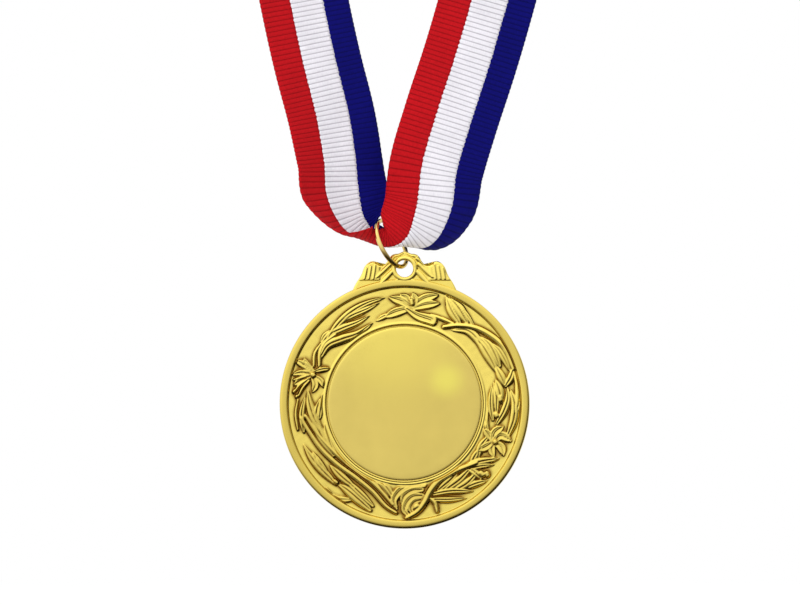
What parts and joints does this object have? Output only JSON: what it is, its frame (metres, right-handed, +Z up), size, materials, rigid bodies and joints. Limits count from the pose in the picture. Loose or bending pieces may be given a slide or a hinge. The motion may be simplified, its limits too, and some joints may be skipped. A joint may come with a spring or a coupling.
{
  "type": "award medal",
  "caption": "Round gold award medal with a floral relief border and blank centre, hung by a jump ring on a red, white and blue woven neck ribbon.",
  "frame": {"origin": "centre of the front face of the blank centre insert", "axes": "+Z up along the hanging medal, from the disc to the lug; the medal's front faces -Y; +X is to the right seen from the front"},
  "size_m": [0.1494, 0.122, 0.37],
  "materials": {
    "gold_casting": "polished gold plate",
    "gold_insert": "satin gold plate",
    "gold_wire": "polished gold plate",
    "adhesive_pad": "matte",
    "ribbon_red": "woven",
    "ribbon_white": "woven",
    "ribbon_blue": "woven",
    "sewing_thread": "twisted thread"
  },
  "bodies": {
    "neck_band": {"neck_band_red": "ribbon_red", "neck_band_white": "ribbon_white", "neck_band_blue": "ribbon_blue", "seam_stitches": "sewing_thread"},
    "front_strands": {"front_strands_red": "ribbon_red", "front_strands_white": "ribbon_white", "front_strands_blue": "ribbon_blue"},
    "ribbon_loop": {"ribbon_loop_red": "ribbon_red", "ribbon_loop_white": "ribbon_white", "ribbon_loop_blue": "ribbon_blue"},
    "jump_ring": {"jump_ring": "gold_wire"},
    "medal": {"medal_body": "gold_casting", "insert_adhesive": "adhesive_pad", "centre_insert": "gold_insert"}
  },
  "joints": [
    {"name": "front_swing", "type": "hinge", "parent": "neck_band", "child": "front_strands", "pos_m": [0, 0.00247, 0.215], "axis": [-1, 0, 0], "range_deg": [-5, 30]},
    {"name": "ribbon_twist", "type": "hinge", "parent": "front_strands", "child": "ribbon_loop", "pos_m": [-0.004, 0.00097, 0.085], "axis": [0, 0, 1], "range_deg": [-60, 60]},
    {"name": "ring_swing", "type": "hinge", "parent": "ribbon_loop", "child": "jump_ring", "pos_m": [-0.0034, 0.00097, 0.04163], "axis": [0.8075, -0.4226, 0.4115], "range_deg": [-30, 10]},
    {"name": "medal_swing", "type": "hinge", "parent": "jump_ring", "child": "medal", "pos_m": [0, 0.00097, 0.0351], "axis": [0, 1, 0], "range_deg": [-15, 15]}
  ]
}
